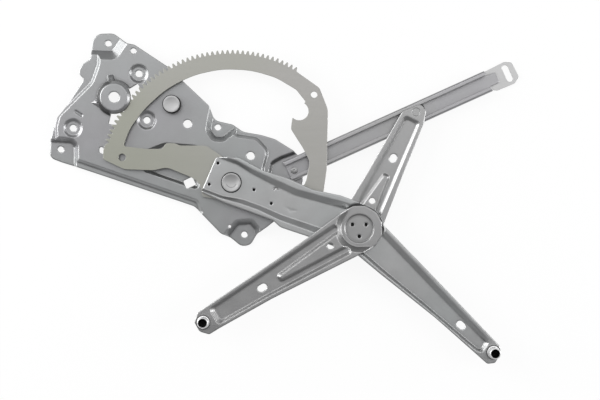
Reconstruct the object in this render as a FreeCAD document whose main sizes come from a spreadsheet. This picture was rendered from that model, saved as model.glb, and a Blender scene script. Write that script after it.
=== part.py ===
import FreeCAD, Part
import math
import os
import Sketcher

# Window regulator of the crossed-arm kind: a pressed base plate carries a toothed sector with its
# lift arm, an equalizer arm crosses it, and a shoe at the equalizer's upper end runs in a guide rail.
# The part lies on its mounting plane, z = 0, as it does against the door's inner panel, with +Z
# towards the glass. The origin is the centre of the left mounting hole.

V = FreeCAD.Vector
doc = FreeCAD.newDocument("window_regulator")

# Driving dimensions in millimetres and degrees.
SIZES = [
    ("plate_sheet", 1.8, "sheet of the base plate"),
    ("panel_rise", 8.0, "back of the panel above the mounting plane"),
    ("border_depth", 4.0, "step from the panel down to its border strips"),
    ("recess_depth", 3.0, "shallow recess beside the sector's lower edge"),
    ("dimple_depth", 2.0, "dimple round each motor screw hole"),
    ("bolt_hole", 6.6, "mounting hole for an M6 bolt"),
    ("motor_hole", 7.4, "motor screw hole"),
    ("main_pivot_x", 186.0, "main pivot, from the left mounting hole"),
    ("main_pivot_y", -36.0, "main pivot, from the left mounting hole"),
    ("boss_height", 3.0, "pressed boss under the main pivot"),
    ("boss_radius", 17.0, "foot of that boss"),
    ("pivot_washer", 1.2, "plastic washer between boss and sector"),
    ("pivot_shank", 6.0, "radius of the main pivot rivet"),
    ("pivot_head", 11.2, "radius of its head"),
    ("head_height", 2.4, "height of its head"),
    ("bush_wall", 2.0, "wall of the main pivot bush"),
    ("running_gap", 0.05, "radial clearance of a turning fit"),
    ("seat_gap", 0.3, "gap between faces that slide past each other"),
    ("sector_sheet", 3.0, "thickness of the toothed sector"),
    ("gear_module", 1.75, "module of the sector's teeth"),
    ("gear_teeth", 161.0, "teeth in a full circle"),
    ("tooth_count", 46.0, "teeth on the sector"),
    ("first_tooth", 60.4, "angle of the first tooth at rest"),
    ("pressure_angle", 20.0, "of the teeth"),
    ("rim_width", 17.4, "sector rim, from the tooth roots to its inner edge"),
    ("pinion_teeth", 17.0, "teeth of the motor's pinion"),
    ("pinion_angle", 144.0, "direction of the pinion, from the main pivot"),
    ("dome_radius", 17.9, "rim of the dome over the pinion"),
    ("dome_flat", 14.5, "flat top of that dome"),
    ("dome_gap", 2.2, "dome above the sector"),
    ("pinion_bore", 5.8, "radius of the pinion's bearing hole"),
    ("stop_radius", 106.1, "stop stud, from the main pivot"),
    ("stop_angle", 127.3, "direction of the stop stud"),
    ("stop_swing", 80.8, "turn of the sector from rest to its stop"),
    ("buffer_radius", 9.7, "rubber buffer on the stop stud"),
    ("arm_sheet", 1.8, "sheet of the lift arm"),
    ("arm_depth", 4.2, "lips of the lift arm above its web"),
    ("arm_reach", 146.3, "main pivot to cross pivot"),
    ("arm_angle", -19.8, "direction of that line at rest"),
    ("tip_reach", 195.8, "cross pivot to the lift arm's stud"),
    ("tip_angle", -42.7, "direction of that line at rest"),
    ("equal_sheet", 1.6, "sheet of both equalizer pressings"),
    ("front_depth", 3.0, "lips of the front pressing above its web"),
    ("rear_depth", 2.6, "lips of the rear pressing above its web"),
    ("front_reach", 195.1, "cross pivot to the equalizer's stud"),
    ("front_angle", 210.9, "direction of that line at rest"),
    ("rear_reach", 139.5, "cross pivot to the slider pin"),
    ("rear_angle", 64.0, "direction of that line at rest"),
    ("cup_radius", 17.0, "bearing cup of the cross pivot"),
    ("hub_radius", 24.4, "hub of the cross pivot, across its flats"),
    ("hub_corner", 6.0, "corners of that hub"),
    ("cross_washer", 0.6, "plastic washer under the hub ring"),
    ("lip_gap", 0.6, "front pressing above the lift arm's lips"),
    ("cross_rivet", 1.9, "radius of the three cross pivot rivets"),
    ("rivet_circle", 8.5, "pitch radius of those rivets"),
    ("stud_radius", 5.9, "outside radius of the guide studs"),
    ("stud_bore", 4.3, "bore radius of the guide studs"),
    ("stud_flange", 7.6, "radius of their flanges"),
    ("stud_top", 41.0, "tops of both studs above the mounting plane"),
    ("flange_height", 1.2, "thickness of the studs' flanges"),
    ("rail_sheet", 1.6, "sheet of the guide rail"),
    ("rail_width", 23.7, "outside width of the guide rail"),
    ("rail_lip", 5.0, "lips of the guide rail"),
    ("rail_seat_x", 246.53, "near end of the rail's centre line"),
    ("rail_seat_y", -24.25, "near end of the rail's centre line"),
    ("rail_length", 238.0, "guide rail, without its tongue"),
    ("pin_offset", 1.5, "slider pin beside the rail's centre line at rest"),
    ("tongue_length", 11.5, "tongue of the rail on its bracket"),
    ("tongue_width", 12.4, "tongue of the rail on its bracket"),
    ("rail_gap", 0.4, "rail below the rear pressing"),
    ("bracket_sheet", 1.8, "sheet of the slotted bracket"),
    ("bracket_overlap", 26.0, "bracket under the rail"),
    ("slot_width", 6.8, "adjusting slot"),
    ("slot_length", 19.4, "adjusting slot"),
    ("shoe_width", 14.8, "plastic shoe in the rail"),
    ("shoe_length", 22.0, "plastic shoe in the rail"),
    ("pin_radius", 4.0, "slider pin in the shoe"),
    ("pin_shoulder", 5.6, "shoulder of that pin under the rear pressing"),
    ("pin_neck", 3.2, "neck of that pin in the rear pressing"),
    ("pin_head", 4.3, "countersunk head of that pin"),
    ("stop_shank", 5.0, "shank of the stop stud"),
    ("arm_rivet", 1.4, "rivets of the lift arm in the sector"),
    ("stud_neck", 4.6, "neck of each guide stud in its arm"),
    ("rail_rivet", 2.2, "shank of the rail's rivet"),
]

sizes = doc.addObject("Spreadsheet::Sheet", "Sizes")
for row, (alias, number, note) in enumerate(SIZES, start=1):
    sizes.set(f"A{row}", alias)
    sizes.set(f"B{row}", str(number))
    sizes.set(f"C{row}", note)
    sizes.setAlias(f"B{row}", alias)
doc.recompute()


def value(expression):
    """The number that an expression of sheet cells gives."""
    return float(sizes.evalExpression(expression))


# Levels above the mounting plane, each an expression of the sheet.
PANEL_TOP = "Sizes.panel_rise + Sizes.plate_sheet"
BOSS_TOP = f"{PANEL_TOP} + Sizes.boss_height"
SECTOR_BOTTOM = f"{BOSS_TOP} + Sizes.pivot_washer"
WEB_BOTTOM = f"{SECTOR_BOTTOM} + Sizes.sector_sheet"
WEB_TOP = f"{WEB_BOTTOM} + Sizes.arm_sheet"
LIP_TOP = f"{WEB_TOP} + Sizes.arm_depth"
REAR_TOP = f"{WEB_BOTTOM} - 0.2"
REAR_WEB_BOTTOM = f"{REAR_TOP} - Sizes.rear_depth - Sizes.equal_sheet"
RAIL_TOP = f"{REAR_WEB_BOTTOM} - Sizes.rail_gap"
HUB_TOP = f"{WEB_TOP} + Sizes.cross_washer + Sizes.equal_sheet"
FRONT_TOP = f"{LIP_TOP} + Sizes.lip_gap + Sizes.equal_sheet + Sizes.front_depth"
DOME_TOP = f"{WEB_BOTTOM} + Sizes.dome_gap + Sizes.plate_sheet"

panel_top = value(PANEL_TOP)
boss_top = value(BOSS_TOP)
sector_bottom = value(SECTOR_BOTTOM)
web_bottom = value(WEB_BOTTOM)
web_top = value(WEB_TOP)
lip_top = value(LIP_TOP)
rear_top = value(REAR_TOP)
rail_top = value(RAIL_TOP)
hub_top = value(HUB_TOP)
front_top = value(FRONT_TOP)
dome_top = value(DOME_TOP)


def size(alias):
    return value(f"Sizes.{alias}")


def polar(radius, degrees):
    """A point of the plane at a radius and a direction."""
    angle = math.radians(degrees)
    return (radius * math.cos(angle), radius * math.sin(angle))


def add(a, b):
    return (a[0] + b[0], a[1] + b[1])


main_pivot = (size("main_pivot_x"), size("main_pivot_y"))
cross_from_main = polar(size("arm_reach"), size("arm_angle"))
cross_pivot = add(main_pivot, cross_from_main)
slider_from_cross = polar(size("rear_reach"), size("rear_angle"))
slider_pivot = add(cross_pivot, slider_from_cross)
pitch_radius = size("gear_module") * size("gear_teeth") / 2
tip_radius = pitch_radius + size("gear_module")
root_radius = pitch_radius - 1.25 * size("gear_module")
pinion_distance = size("gear_module") * (size("gear_teeth") + size("pinion_teeth")) / 2
pinion_from_main = polar(pinion_distance, size("pinion_angle"))
pinion_centre = add(main_pivot, pinion_from_main)
stop_from_main = polar(size("stop_radius"), size("stop_angle"))
stop_centre = add(main_pivot, stop_from_main)


# Outlines. A corner is (x, y, radius); a loop of corners becomes lines joined by arcs.

def leg(origin, degrees):
    """Places corners given as (distance along the leg, offset to its left, radius)."""
    along, across = polar(1, degrees), polar(1, degrees + 90)

    def placed(corners):
        result = []
        for a, b, radius in corners:
            x = origin[0] + a * along[0] + b * across[0]
            y = origin[1] + a * along[1] + b * across[1]
            result.append((x, y, radius))
        return result
    return placed


def signed_area(corners):
    total = 0.0
    for (x0, y0, _), (x1, y1, _) in zip(corners, corners[1:] + corners[:1]):
        total += x0 * y1 - x1 * y0
    return total / 2


def grown(corners, distance):
    """The loop moved outwards by a distance, or inwards where it is negative."""
    if signed_area(corners) < 0:
        corners = corners[::-1]
    if distance == 0:
        return corners
    result = []
    count = len(corners)
    for i in range(count):
        before, here, after = corners[i - 1], corners[i], corners[(i + 1) % count]
        d0 = V(here[0] - before[0], here[1] - before[1], 0).normalize()
        d1 = V(after[0] - here[0], after[1] - here[1], 0).normalize()
        n0, n1 = V(d0.y, -d0.x, 0), V(d1.y, -d1.x, 0)
        mitre = (n0 + n1) * (distance / (1 + n0.dot(n1)))
        turn = d0.x * d1.y - d0.y * d1.x
        radius = here[2] + distance if turn > 0 else here[2] - distance
        result.append((here[0] + mitre.x, here[1] + mitre.y, max(radius, 0.3)))
    return result


def loop_edges(corners, level=0.0):
    """Lines and tangent arcs through a loop of corners."""
    count = len(corners)
    starts, middles, ends = [], [], []
    for i in range(count):
        before, here, after = corners[i - 1], corners[i], corners[(i + 1) % count]
        point = V(here[0], here[1], level)
        d0 = (V(before[0], before[1], level) - point).normalize()
        d1 = (V(after[0], after[1], level) - point).normalize()
        half = math.acos(max(-1.0, min(1.0, d0.dot(d1)))) / 2
        if here[2] <= 0 or half > math.radians(89.5):
            starts.append(point)
            middles.append(None)
            ends.append(point)
            continue
        reach = here[2] / math.tan(half)
        towards = (d0 + d1).normalize()
        centre = point + towards * (here[2] / math.sin(half))
        starts.append(point + d0 * reach)
        middles.append(centre - towards * here[2])
        ends.append(point + d1 * reach)
    edges = []
    for i in range(count):
        if middles[i] is not None:
            edges.append(Part.Arc(starts[i], middles[i], ends[i]))
        following = starts[(i + 1) % count]
        if (following - ends[i]).Length > 1e-6:
            edges.append(Part.LineSegment(ends[i], following))
    return edges


def loop_wire(corners, level):
    return Part.Wire([edge.toShape() for edge in loop_edges(corners, level)])


def prism(corners, low, high):
    return Part.Face(loop_wire(corners, low)).extrude(V(0, 0, high - low))


def frustum(corners, low, high, grow_low, grow_high):
    """A solid between two levels whose side slopes from one growth of the loop to the other."""
    wires = [loop_wire(grown(corners, grow_low), low), loop_wire(grown(corners, grow_high), high)]
    return Part.makeLoft(wires, True, True)


def cylinder(radius, low, high, centre=(0, 0)):
    return Part.makeCylinder(radius, high - low, V(centre[0], centre[1], low))


def cone(radius_low, radius_high, low, high, centre=(0, 0)):
    return Part.makeCone(radius_low, radius_high, high - low, V(centre[0], centre[1], low))


def slot_corners(centre, length, width, degrees):
    """The four corners of a round-ended slot."""
    along, across = polar(1, degrees), polar(1, degrees + 90)
    corners = []
    for a, b in ((-1, -1), (1, -1), (1, 1), (-1, 1)):
        x = centre[0] + a * along[0] * length / 2 + b * across[0] * width / 2
        y = centre[1] + a * along[1] * length / 2 + b * across[1] * width / 2
        corners.append((x, y, width / 2 - 0.01))
    return corners


# Pressed sheets. Each press has a loop at the sheet's upper face, a depth below that face
# (negative where it is raised) and a run, the width of its sloping wall.

def press_down(corners, top, depth, run, sheet):
    """The outside and the inside of a recess pressed away from the upper face."""
    outside = frustum(corners, top - depth - sheet, top - sheet / 2, sheet - run, sheet)
    inside = frustum(corners, top - depth, top + 0.5, -run, run * 0.5 / depth)
    return outside, inside


def press_up(corners, top, height, run, sheet):
    """The outside and the inside of a boss pressed above the upper face."""
    outside = frustum(corners, top - sheet / 2, top + height, run * sheet / 2 / height, -run)
    inside = frustum(corners, top - sheet - 0.5, top + height - sheet,
                     -sheet + run * 0.5 / height, -run - sheet * 0.6)
    return outside, inside


def ring_corners(centre, radius, count=4):
    """A circle written as the rounded corners of a square."""
    corners = []
    for i in range(count):
        x, y = polar(radius * math.sqrt(2), 45 + 90 * i)
        corners.append((centre[0] + x, centre[1] + y, radius - 0.02))
    return corners


def pressed_sheet(outline, top, sheet, presses, cuts):
    """A flat sheet with presses and cut-outs, trimmed to its outline."""
    low, high = top - 30, top + 30
    solid = prism(grown(outline, 0), top - sheet, top)
    outsides = [outside for outside, inside in presses]
    insides = [inside for outside, inside in presses]
    if outsides:
        trimmed = [outside.common(prism(grown(outline, 0), low, high)) for outside in outsides]
        solid = solid.fuse(trimmed)
    solid = solid.cut(insides + cuts)
    return solid.removeSplitter()


def feature(label, shape, at=(0, 0), level=0.0):
    """A finished sub-part whose shape is set here, placed on its own origin."""
    if shape.ShapeType == "Compound" and len(shape.Solids) == 1:
        shape = shape.Solids[0]
    piece = doc.addObject("Part::Feature", label)
    piece.Label = label
    piece.Shape = shape
    piece.Placement = FreeCAD.Placement(V(at[0], at[1], level), FreeCAD.Rotation())
    parts.append(piece)
    return piece


parts = []


# Bodies made of sketches and features.

def origin_plane(body, role):
    return [item for item in body.Origin.OriginFeatures if item.Role == role][0]


def new_body(label, at, level, degrees=0.0):
    """A body at a point of the plane; its height is an expression of the sheet."""
    body = doc.addObject("PartDesign::Body", label)
    body.Label = label
    body.Placement = FreeCAD.Placement(V(at[0], at[1], 0), FreeCAD.Rotation(V(0, 0, 1), degrees))
    body.setExpression("Placement.Base.z", level)
    parts.append(body)
    return body


def new_sketch(body, name, role="XY_Plane"):
    sketch = body.newObject("Sketcher::SketchObject", name)
    sketch.AttachmentSupport = [(origin_plane(body, role), "")]
    sketch.MapMode = "FlatFace"
    return sketch


def circle(sketch, centre, radius, expression=None):
    """A circle whose diameter is held by a constraint, and by the sheet where one is named."""
    index = sketch.addGeometry(Part.Circle(V(centre[0], centre[1], 0), V(0, 0, 1), radius), False)
    held = sketch.addConstraint(Sketcher.Constraint("Radius", index, radius))
    if expression:
        sketch.setExpression(f"Constraints[{held}]", expression)


def pad(body, sketch, length):
    feature_pad = body.newObject("PartDesign::Pad", f"{body.Name}_pad")
    feature_pad.Profile = sketch
    feature_pad.setExpression("Length", length)
    return feature_pad


def pocket(body, sketch, name):
    """A cut right through the body, both ways."""
    cut = body.newObject("PartDesign::Pocket", name)
    cut.Profile = sketch
    cut.Type = 1
    cut.Midplane = True
    return cut


def ring(body, outer, inner, length):
    sketch = new_sketch(body, f"{body.Name}_ring")
    circle(sketch, (0, 0), outer)
    circle(sketch, (0, 0), inner)
    return pad(body, sketch, length)


def rivet_group(spots, profile):
    """Like rivets as one group of solids: the profile is (radius, height) corners."""
    points = [V(x, 0, z) for x, z in profile]
    face = Part.Face(Part.makePolygon(points + points[:1]))
    rivet = face.revolve(V(0, 0, 0), V(0, 0, 1), 360)
    copies = []
    for spot in spots:
        copy = rivet.copy()
        copy.translate(V(spot[0], spot[1], 0))
        copies.append(copy)
    return Part.makeCompound(copies)


def revolve(body, profile, name="profile"):
    """A turned piece: profile is a list of (radius, height) corners, closed by the last one."""
    sketch = new_sketch(body, f"{body.Name}_{name}", "XZ_Plane")
    points = [V(x, z, 0) for x, z in profile]
    for start, end in zip(points, points[1:] + points[:1]):
        sketch.addGeometry(Part.LineSegment(start, end), False)
    turned = body.newObject("PartDesign::Revolution", f"{body.Name}_turned")
    turned.Profile = sketch
    turned.ReferenceAxis = (sketch, ["V_Axis"])
    turned.Angle = 360
    return turned


# Places that several pieces share. The rail points at the slider pin, just beside it.
to_pin = (slider_pivot[0] - size("rail_seat_x"), slider_pivot[1] - size("rail_seat_y"))
pin_bearing = math.atan2(to_pin[1], to_pin[0]) - math.asin(size("pin_offset") / math.hypot(*to_pin))
rail_angle = math.degrees(pin_bearing)
rail_origin = (size("rail_seat_x"), size("rail_seat_y"))
rail_leg = leg(rail_origin, rail_angle)
RAIL_RIVET = (7.0, -1.5)
rail_rivet_centre = rail_leg([RAIL_RIVET + (0,)])[0][:2]
near_leg = leg((0, 0), size("arm_angle"))
far_leg = leg(cross_from_main, size("tip_angle"))
ARM_RIVETS = [(-20.5, 14.6, 0), (-21.7, -10.0, 0), (25.6, 0.9, 0), (48.1, -6.7, 0)]
arm_rivets = [spot[:2] for spot in near_leg(ARM_RIVETS)]
arm_stud_from_main = far_leg([(size("tip_reach"), 0, 0)])[0][:2]
equal_stud_from_cross = polar(size("front_reach"), size("front_angle"))
STOP_TOP = f"{LIP_TOP} - 1.0"
stop_top = value(STOP_TOP)
stop_shank = size("stop_shank")
arm_rivet = size("arm_rivet")
stud_neck = size("stud_neck")
pin_neck = size("pin_neck")
pin_head = size("pin_head")
FIT = 0.02


# Base plate: a zinc-plated pressing. Four tabs stand on the mounting plane, the panel is raised.
PLATE_OUTLINE = [
    (33, 98, 6), (35, 125.5, 12), (57.5, 126, 10), (73, 114.5, 12), (81, 113, 6), (118, 88.5, 12),
    (134, 73, 40), (161.5, 47, 8), (167, 31.5, 10), (187, 27, 10), (198, 19, 14), (218, 15.5, 60),
    (233, 11, 20), (253, -1.5, 10), (263, -12, 8), (263, -37, 14), (232, -78, 3), (225, -83.5, 6),
    (213, -92, 8), (206, -104, 9), (196, -105, 9), (185, -96, 10), (174, -91, 12), (146, -62, 14),
    (130, -56.5, 60), (19, -19.5, 30), (1, -14, 9), (-12, -9, 8), (-11, 8, 20), (-5, 32, 10),
    (3, 41.5, 12), (26, 76, 4), (19, 83, 7), (24, 92, 5),
]
TOP_TAB = [(10, 98.5, 2), (61, 96.5, 12), (90, 138, 2), (10, 140, 2)]
LEFT_TAB = [(-30, 15, 2), (14, 12.5, 9), (20.5, 5, 9), (20.5, -40, 2), (-30, -40, 2)]
RIGHT_TAB = [(163, 50, 2), (157, 20, 12), (165, 8, 10), (178, 8, 10), (196, 22, 9), (192, 50, 2)]
LOWER_TAB = [(176, -94, 2), (190, -76.5, 9), (208, -75, 9), (216, -84, 9), (222, -125, 2), (168, -125, 2)]
LOBE = [(188, 40, 2), (188, 13.5, 5), (212, 10, 9), (223.5, -2, 10), (218.5, -20, 12), (218, -44, 6),
        (290, -44, 2), (290, 40, 2)]
RAIL_SEAT = rail_leg([(-23.9, 6.7, 8), (-14.1, 19.9, 10), (0.2, 21.1, 14), (15.0, 19.9, 8), (57.1, 20.7, 2),
                      (28.2, -43.1, 2), (-31.9, -16.0, 10)])
LEFT_BORDER = [(44.5, 112, 2), (43.4, 91, 20), (36.5, 71.5, 18), (0.5, 35.5, 8), (-2.5, 24, 8), (-1, 5, 3),
               (-40, 5, 2), (-40, 112, 2)]
LOWER_BORDER = [(14, -9, 3), (22, -11.5, 5), (86, -33.5, 20), (149, -55, 5), (156, -70, 2), (10, -70, 2)]
RECESS = [(91, -2, 8), (113, 7, 12), (150, 4, 5), (151.5, -45, 5), (90, -24, 5)]

plate_sheet = size("plate_sheet")
tab_depth = size("panel_rise")
border_depth = size("border_depth")
recess_depth = size("recess_depth")
dimple_depth = size("dimple_depth")
tab_holes = {"left": (0.0, 0.0), "top": (51.5, 115.0), "right": (170.7, 23.9), "lower": (199.4, -92.5)}
motor_holes = [(85.4, 81.7), (94.2, 31.3), (14.3, 22.8)]
round_holes = [(2.9, (79.7, 106.3)), (4.5, (138.3, 27.3)), (4.3, (206.4, -7.2)), (1.5, (183.8, -83.4))]

presses = [press_down(TOP_TAB, panel_top, tab_depth, 1.3 * tab_depth, plate_sheet)]
for tab in (LEFT_TAB, RIGHT_TAB, LOWER_TAB, RAIL_SEAT):
    presses.append(press_down(tab, panel_top, tab_depth, 0.72 * tab_depth, plate_sheet))
for strip in (LEFT_BORDER, LOWER_BORDER):
    presses.append(press_down(strip, panel_top, border_depth, 0.8 * border_depth, plate_sheet))
presses.append(press_down(LOBE, panel_top, 0.9 * border_depth, 0.8 * border_depth, plate_sheet))
presses.append(press_down(RECESS, panel_top, recess_depth, recess_depth, plate_sheet))
for hole in motor_holes:
    rim = ring_corners(hole, size("motor_hole") / 2 + 6.7)
    presses.append(press_down(rim, panel_top, dimple_depth, 1.4 * dimple_depth, plate_sheet))
boss = ring_corners(main_pivot, size("boss_radius"))
presses.append(press_up(boss, panel_top, size("boss_height"), size("boss_height"), plate_sheet))
presses.append(press_down(slot_corners((20.6, 38.7), 11.0, 3.8, -34), panel_top, 0.9, 1.2, plate_sheet))

holes = [cylinder(size("bolt_hole") / 2, -1, 4, spot) for spot in tab_holes.values()]
holes += [cylinder(size("motor_hole") / 2, 2, 12, spot) for spot in motor_holes]
holes.append(cylinder(size("pivot_shank") + FIT, 5, 16, main_pivot))
holes += [cylinder(radius, -1, 12, spot) for radius, spot in round_holes]
holes.append(prism(slot_corners((45.1, -1.0), 6.6, 4.4, 90), 2, 12))
square_hole = [(x, y, 1.5) for x, y, radius in slot_corners((140.2, -36.3), 11.0, 9.4, 25)]
holes.append(prism(square_hole, 2, 12))

# The dome stands over the pinion and the sector's teeth, open on the sector's side.
dome_radius = size("dome_radius")
dome_flat = size("dome_flat")
dome_knee = web_bottom + 0.8
dome_foot = dome_radius + 1.6
towards_main = size("pinion_angle") + 180


def dome_solid(inset):
    """The dome's outer surface, or its inner one where it is inset by the sheet."""
    top = dome_top - inset
    knee = cone(dome_radius - inset, dome_flat - inset * 0.4, dome_knee - inset, top, pinion_centre)
    foot = panel_top - inset - 1
    wall = cone(dome_foot - inset, dome_radius - inset, foot, dome_knee - inset, pinion_centre)
    return knee.fuse(wall)


def pinion_window(low, high, radius, half_angle):
    """A wedge about the pinion that faces the main pivot."""
    corners = [(pinion_centre[0], pinion_centre[1], 0.0)]
    for turn in (-half_angle, -half_angle / 3, half_angle / 3, half_angle):
        corners.append(add(pinion_centre, polar(radius * 1.5, towards_main + turn)) + (0.0,))
    wedge = prism(grown(corners, 0), low, high)
    return wedge.common(cylinder(radius, low, high, pinion_centre))


def buttress(foot, crest):
    """A hollow ridge that leans on the dome, from a loop on the panel to one at the dome's knee."""
    outside = Part.makeLoft([loop_wire(grown(foot, 0), panel_top - plate_sheet / 2),
                             loop_wire(grown(crest, 0), dome_knee)], True, True)
    inside = Part.makeLoft([loop_wire(grown(foot, -plate_sheet), panel_top - plate_sheet - 0.2),
                            loop_wire(grown(crest, -0.5 * plate_sheet), dome_knee - plate_sheet)], True, True)
    return outside, inside


WINDOW_RADIUS = 29.0
WINDOW_HALF = 68.0
side_leg = leg(pinion_centre, 196.5)
back_leg = leg(pinion_centre, 102.0)
presses.append(buttress(side_leg([(26.6, -2.1, 1.5), (13.5, 10.0, 2), (12.0, -7.0, 2)]),
                        side_leg([(15.0, 0.5, 0.8), (10.5, 4.0, 0.8), (9.5, -4.5, 0.8)])))
presses.append(buttress(back_leg([(26, -3.4, 1), (26, 3.4, 1), (12, 4.2, 1), (12, -4.2, 1)]),
                        back_leg([(18.5, -2.2, 0.6), (18.5, 2.2, 0.6), (11, 2.6, 0.6), (11, -2.6, 0.6)])))
presses.append((dome_solid(0), dome_solid(plate_sheet)))
window = pinion_window(2, panel_top + 0.01, WINDOW_RADIUS, WINDOW_HALF)
under_rim = pinion_window(2, dome_knee, dome_foot + 3, WINDOW_HALF)
holes += [window, under_rim, cylinder(size("pinion_bore"), 5, 30, pinion_centre)]

holes.append(cylinder(stop_shank + FIT, 5, 12, stop_centre))
rail_rivet_shank = size("rail_rivet")
holes.append(cylinder(rail_rivet_shank + FIT, -1, 3, rail_rivet_centre))
holes.append(cone(rail_rivet_shank + 1.25, rail_rivet_shank, 0, 1.2, rail_rivet_centre))
base = pressed_sheet(PLATE_OUTLINE, panel_top, plate_sheet, presses, holes)
feature("base_plate", base)


# Sector: a thick blanked plate whose rim carries the teeth; its hub lies under the lift arm.

def involute_half_angle(radius):
    """Half the angle that a tooth takes up at a radius, in radians."""
    pressure = math.radians(size("pressure_angle"))
    base_radius = pitch_radius * math.cos(pressure)
    here = math.acos(min(1.0, base_radius / radius))
    involute_pitch = math.tan(pressure) - pressure
    return math.pi / 2 / size("gear_teeth") + involute_pitch - (math.tan(here) - here)


def tooth_edges():
    """The toothed edge, from the root before the first tooth to the root after the last."""
    pitch = 360 / size("gear_teeth")
    count = int(round(size("tooth_count")))
    root_half = math.degrees(involute_half_angle(root_radius))
    pitch_half = math.degrees(involute_half_angle(pitch_radius))
    tip_half = math.degrees(involute_half_angle(tip_radius))
    edges = []
    for i in range(count):
        middle = size("first_tooth") + i * pitch
        root_a = V(*polar(root_radius, middle - root_half), 0)
        flank_a = V(*polar(pitch_radius, middle - pitch_half), 0)
        tip_a = V(*polar(tip_radius, middle - tip_half), 0)
        tip_b = V(*polar(tip_radius, middle + tip_half), 0)
        flank_b = V(*polar(pitch_radius, middle + pitch_half), 0)
        root_b = V(*polar(root_radius, middle + root_half), 0)
        corners = [root_a, flank_a, tip_a, tip_b, flank_b, root_b]
        edges += [Part.LineSegment(start, end) for start, end in zip(corners, corners[1:])]
        if i < count - 1:
            following = V(*polar(root_radius, middle + pitch - root_half), 0)
            edges.append(Part.LineSegment(root_b, following))
    first = V(*polar(root_radius, size("first_tooth") - root_half), 0)
    return edges, first, root_b


def rim_point(ratio, degrees, radius):
    """A corner at a share of the pitch radius."""
    x, y = polar(ratio * pitch_radius, degrees)
    return (x, y, radius)


def open_chain(corners):
    """Lines and arcs through corners whose first and last are ends."""
    edges = loop_edges(corners)
    start, end = V(corners[0][0], corners[0][1], 0), V(corners[-1][0], corners[-1][1], 0)
    closing = [edge for edge in edges
               if (edge.StartPoint - end).Length < 1e-6 and (edge.EndPoint - start).Length < 1e-6]
    return [edge for edge in edges if edge not in closing]


teeth, teeth_start, teeth_end = tooth_edges()
SECTOR_EDGE = [
    rim_point(1.006, 163.2, 0.6), rim_point(1.010, 166.0, 1.5), rim_point(0.997, 169.8, 3),
    (-115.5, 14.2, 14), (-84, 13.0, 24), (-69.4, 16.2, 16), (-40, 4.2, 20), (-33.5, -3, 6), (-31, -15.5, 3),
    (25, -25, 12), (72, -33, 14), (98, -20, 10), (102.7, 14, 16), rim_point(0.925, 37.0, 24),
    rim_point(0.988, 47.0, 8), rim_point(0.981, 58.0, 1.5),
]
edge_chain = open_chain([(teeth_end.x, teeth_end.y, 0)] + SECTOR_EDGE + [(teeth_start.x, teeth_start.y, 0)])
notch_centre = polar(size("stop_radius"), size("stop_angle") - size("stop_swing"))
inner_radius = root_radius - size("rim_width")


def inner_point(share, degrees, radius):
    x, y = polar(share * inner_radius, degrees)
    return (x, y, radius)


SECTOR_WINDOW = [
    (81, 4, 6), (84.5, 22, 10), inner_point(0.705, 26.0, 14), inner_point(0.71, 42.0, 6),
    inner_point(0.785, 46.5, 3), inner_point(0.975, 47.5, 2), inner_point(1.005, 55.0, 10),
    inner_point(1.012, 67.0, 60), inner_point(1.012, 80.0, 100), inner_point(1.012, 95.0, 100),
    inner_point(1.012, 110.0, 100), inner_point(1.012, 125.0, 100), inner_point(1.012, 140.0, 100),
    inner_point(1.022, 152.0, 60), (-116.5, 39, 2.5), (-91, 36, 30), (-74.8, 36.3, 3), (-70, 42.3, 3),
    (-61, 42.3, 4), (-55, 39.7, 6), (-27, 39.8, 12), (-10, 28, 12), (5, 17, 8), (60, -5, 6), (78, -4, 5),
]

sector = new_body("sector_gear", main_pivot, SECTOR_BOTTOM)
blank = new_sketch(sector, "sector_blank")
for edge in teeth + edge_chain:
    blank.addGeometry(edge, False)
pad(sector, blank, "Sizes.sector_sheet")
openings = new_sketch(sector, "sector_openings")
for edge in loop_edges(SECTOR_WINDOW):
    openings.addGeometry(edge, False)
pocket(sector, openings, "sector_window")
notch = new_sketch(sector, "stop_notch")
circle(notch, notch_centre, size("buffer_radius") + size("seat_gap"), "Sizes.buffer_radius + Sizes.seat_gap")
pocket(sector, notch, "sector_notch")
bores = new_sketch(sector, "sector_bores")
circle(bores, (0, 0), size("pivot_shank") + size("bush_wall"), "Sizes.pivot_shank + Sizes.bush_wall")
circle(bores, rim_point(0.922, 46.7, 0)[:2], 3.4)
circle(bores, rim_point(0.857, 167.1, 0)[:2], 4.0)
for spot in arm_rivets:
    circle(bores, spot, arm_rivet, "Sizes.arm_rivet")
pocket(sector, bores, "sector_holes")


# Lift arm: a tray-shaped pressing, open towards the glass, bent at the cross pivot.

def tray(floor, opening, top, depth, sheet):
    """A pressing between two loops of like corners: the floor's and the opening's."""
    wall = 0.5 * sheet
    rise = 0.5 / depth
    above = []
    for low, high in zip(floor, opening):
        above.append((high[0] + (high[0] - low[0]) * rise, high[1] + (high[1] - low[1]) * rise, high[2]))
    inside = Part.makeLoft([loop_wire(grown(floor, 0), top - depth),
                            loop_wire(grown(above, 0), top + 0.5)], True, True)
    outside = Part.makeLoft([loop_wire(grown(floor, wall), top - depth - sheet),
                             loop_wire(grown(opening, wall), top - sheet / 2)], True, True)
    return outside, inside


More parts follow.
